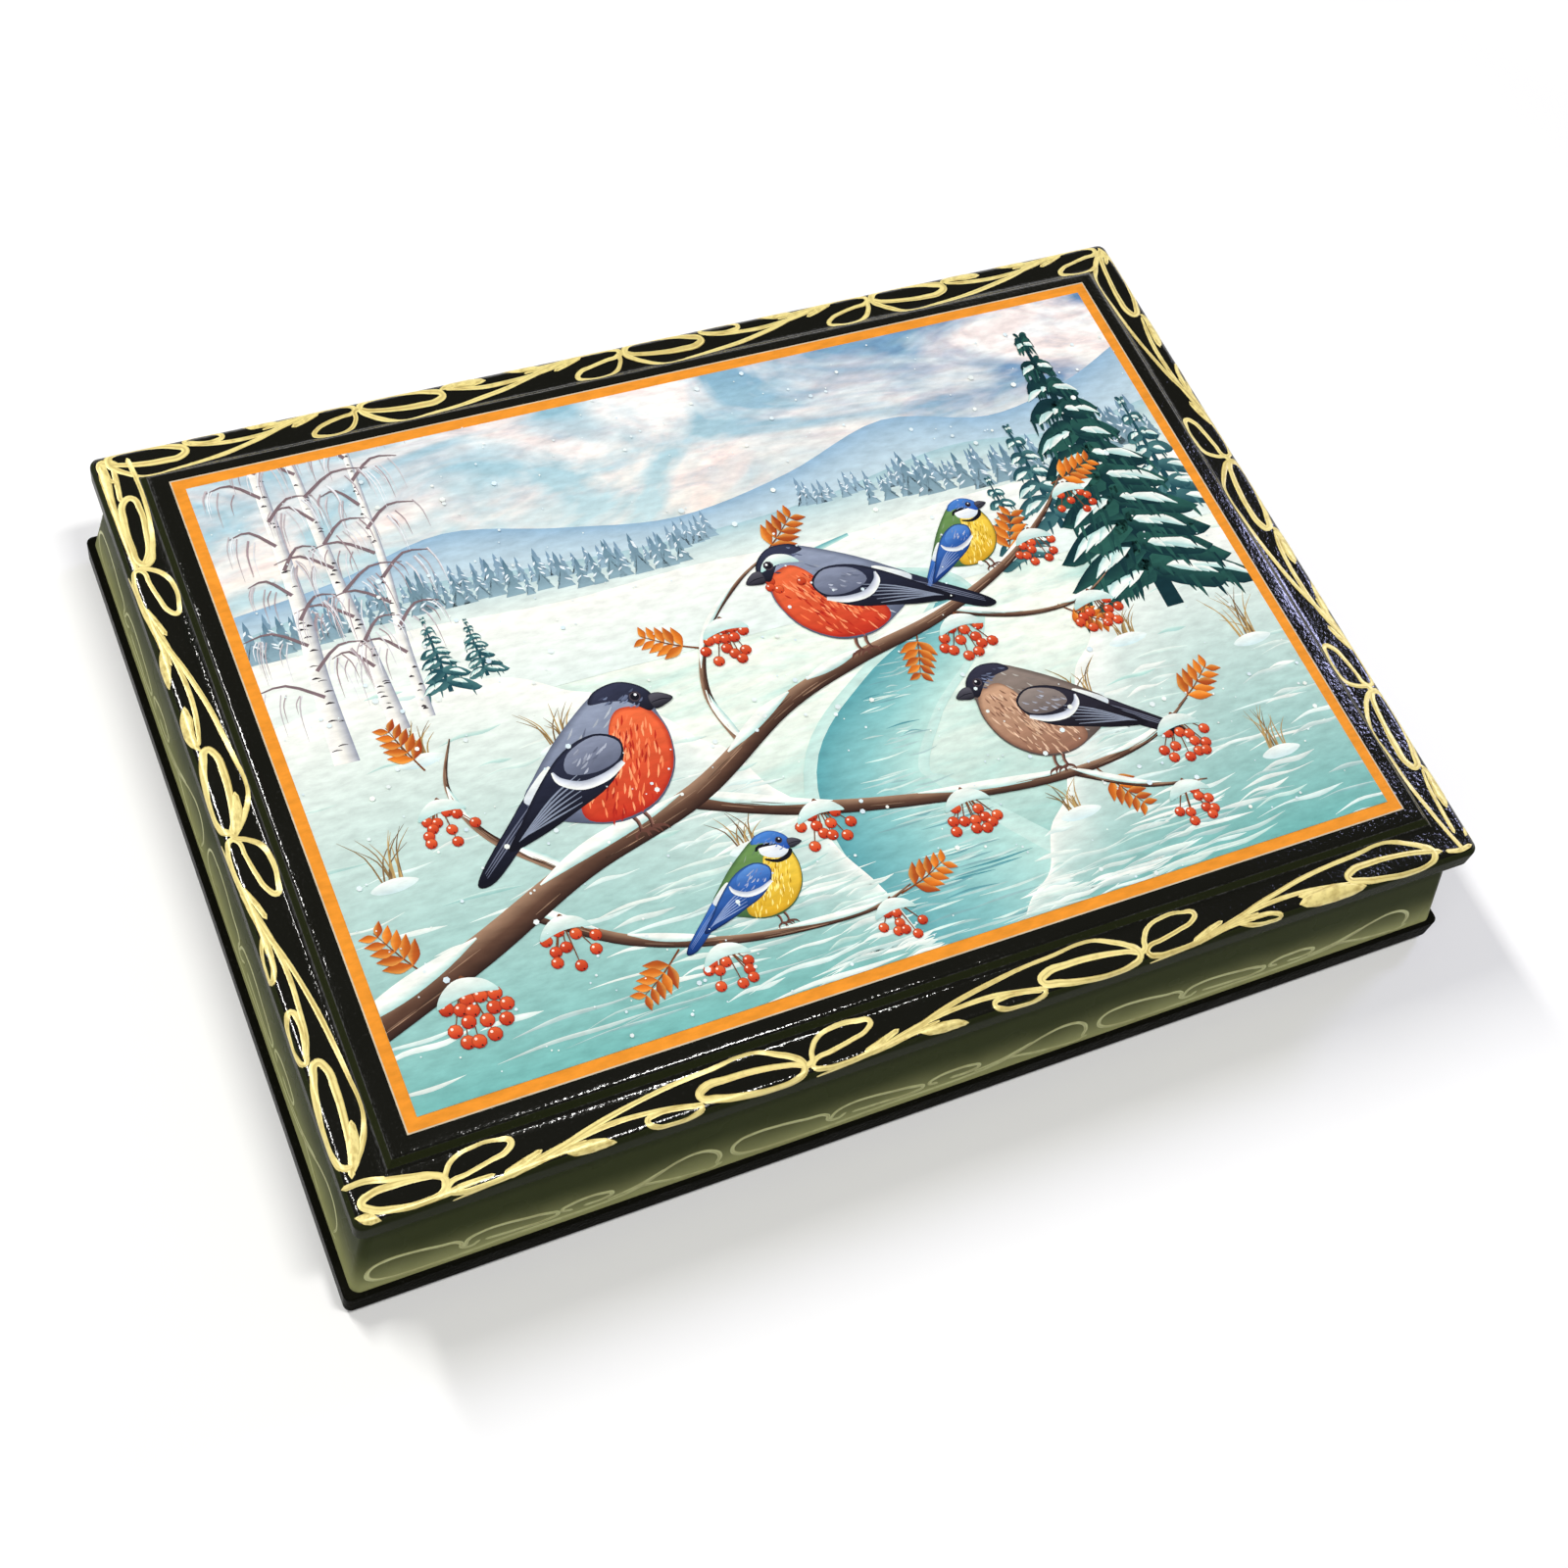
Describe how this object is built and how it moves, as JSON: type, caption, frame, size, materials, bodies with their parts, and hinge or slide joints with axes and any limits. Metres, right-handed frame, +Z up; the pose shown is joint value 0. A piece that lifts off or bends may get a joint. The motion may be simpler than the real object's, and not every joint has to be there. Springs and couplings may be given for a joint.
{
  "type": "lacquer box",
  "caption": "Rectangular black lacquer box with splayed walls, a plinth base and a hinged lid whose raised field carries a bordered picture.",
  "frame": {"origin": "middle of the underside of the base board, in the plane that the box stands on", "axes": "+X to the right along the long side, +Y from the front to the hinged back, +Z up"},
  "size_m": [0.1836, 0.1336, 0.0305],
  "materials": {
    "black_lacquer": "black lacquer, high gloss with a light orange peel",
    "red_lacquer": "red lacquer, gloss",
    "red_flock": "short red flock on paper",
    "printed_paper": "printed picture under clear gloss varnish",
    "gold_paint": "pale gold paint laid on with a fine brush",
    "hinge_brass": "rolled brass, satin"
  },
  "bodies": {
    "box": {"base_board": "black_lacquer", "front_wall": "black_lacquer", "back_wall": "black_lacquer", "left_wall": "black_lacquer", "right_wall": "black_lacquer", "front_collar": "red_lacquer", "back_collar": "red_lacquer", "left_collar": "red_lacquer", "right_collar": "red_lacquer", "floor_lining": "red_flock", "left_hinge_body_leaf": "hinge_brass", "left_hinge_pin": "hinge_brass", "right_hinge_body_leaf": "hinge_brass", "right_hinge_pin": "hinge_brass", "hinge_body_screws": "hinge_brass"},
    "lid": {"lid_board": "black_lacquer", "lid_lining": "red_flock", "picture_print": "printed_paper", "left_hinge_lid_leaf": "hinge_brass", "right_hinge_lid_leaf": "hinge_brass", "hinge_lid_screws": "hinge_brass"}
  },
  "joints": [
    {"name": "lid_hinge", "type": "hinge", "parent": "box", "child": "lid", "pos_m": [0, 0.0637, 0.0235], "axis": [-1, 0, 0], "range_deg": [0, 95]}
  ]
}
